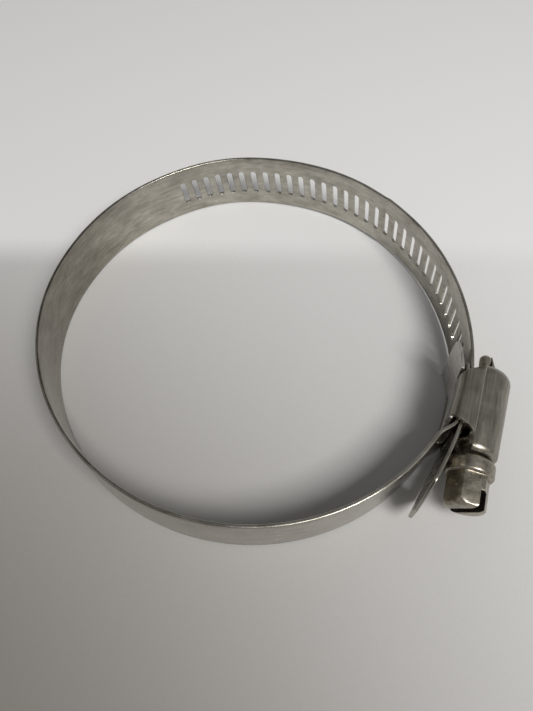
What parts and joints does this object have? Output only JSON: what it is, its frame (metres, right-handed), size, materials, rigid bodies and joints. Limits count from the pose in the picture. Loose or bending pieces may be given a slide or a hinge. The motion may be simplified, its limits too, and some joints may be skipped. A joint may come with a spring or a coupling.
{
  "type": "hose clamp",
  "caption": "Worm-drive hose clamp: a flat slotted steel band formed into a ring, pulled through a domed housing by a captive slotted hex-head screw, with a tongue bridging the gap.",
  "frame": {"origin": "centre of the hose circle, on the plane of the band's lower edge", "axes": "+Z along the hose axis; +X from the hose axis square to the housing; the screw runs along Y, its head at -Y and its pilot tip at +Y"},
  "size_m": [0.0867, 0.0776, 0.0147],
  "materials": {
    "band_steel": "rolled stainless strip, satin along its length",
    "housing_steel": "stamped stainless sheet, satin",
    "screw_steel": "nickel-toned steel with worn bright edges"
  },
  "bodies": {
    "housing_body": {"housing": "housing_steel", "saddle": "housing_steel", "band_fixed_end": "band_steel"},
    "screw_body": {"screw": "screw_steel"},
    "band_link_01_body": {"band_link_01": "band_steel"},
    "band_link_02_body": {"band_link_02": "band_steel"},
    "band_link_03_body": {"band_link_03": "band_steel"},
    "band_link_04_body": {"band_link_04": "band_steel"},
    "band_link_05_body": {"band_link_05": "band_steel"},
    "band_link_06_body": {"band_link_06": "band_steel"},
    "band_link_07_body": {"band_link_07": "band_steel"},
    "slotted_end_body": {"band_slotted_end": "band_steel"}
  },
  "joints": [
    {"name": "screw_turn", "type": "hinge", "parent": "housing_body", "child": "screw_body", "pos_m": [0.043, -0.004, 0.00635], "axis": [0, 1, 0], "range_deg": [-360, 2880]},
    {"name": "band_flex_01", "type": "hinge", "parent": "housing_body", "child": "band_link_01_body", "pos_m": [0.03337, -0.01927, 0.00635], "axis": [0, 0, 1], "range_deg": [-10.86, 1.4]},
    {"name": "band_flex_02", "type": "hinge", "parent": "band_link_01_body", "child": "band_link_02_body", "pos_m": [0.01453, -0.03568, 0.00635], "axis": [0, 0, 1], "range_deg": [-0.54, 3.95]},
    {"name": "band_flex_03", "type": "hinge", "parent": "band_link_02_body", "child": "band_link_03_body", "pos_m": [-0.01041, -0.0371, 0.00635], "axis": [0, 0, 1], "range_deg": [-1.05, 8.07]},
    {"name": "band_flex_04", "type": "hinge", "parent": "band_link_03_body", "child": "band_link_04_body", "pos_m": [-0.03098, -0.02291, 0.00635], "axis": [0, 0, 1], "range_deg": [-16.12, 2.06]},
    {"name": "band_flex_05", "type": "hinge", "parent": "band_link_04_body", "child": "band_link_05_body", "pos_m": [-0.03852, 0.00091, 0.00635], "axis": [0, 0, 1], "range_deg": [-14.2, 1.82]},
    {"name": "band_flex_06", "type": "hinge", "parent": "band_link_05_body", "child": "band_link_06_body", "pos_m": [-0.02986, 0.02435, 0.00635], "axis": [0, 0, 1], "range_deg": [-1.29, 9.94]},
    {"name": "band_flex_07", "type": "hinge", "parent": "band_link_06_body", "child": "band_link_07_body", "pos_m": [-0.00771, 0.03775, 0.00635], "axis": [0, 0, 1], "range_deg": [-0.43, 3.13]},
    {"name": "band_flex_08", "type": "hinge", "parent": "band_link_07_body", "child": "slotted_end_body", "pos_m": [0.01802, 0.03431, 0.00635], "axis": [0, 0, 1], "range_deg": [-10.97, 1.42]}
  ],
  "couplings": [
    {"joint": "band_flex_01", "follows": "screw_turn", "ratio": -0.0037548},
    {"joint": "band_flex_02", "follows": "screw_turn", "ratio": 0.0013555},
    {"joint": "band_flex_03", "follows": "screw_turn", "ratio": 0.0027833},
    {"joint": "band_flex_04", "follows": "screw_turn", "ratio": -0.0055785},
    {"joint": "band_flex_05", "follows": "screw_turn", "ratio": -0.0049141},
    {"joint": "band_flex_06", "follows": "screw_turn", "ratio": 0.0034334},
    {"joint": "band_flex_07", "follows": "screw_turn", "ratio": 0.001068},
    {"joint": "band_flex_08", "follows": "screw_turn", "ratio": -0.0037926}
  ]
}
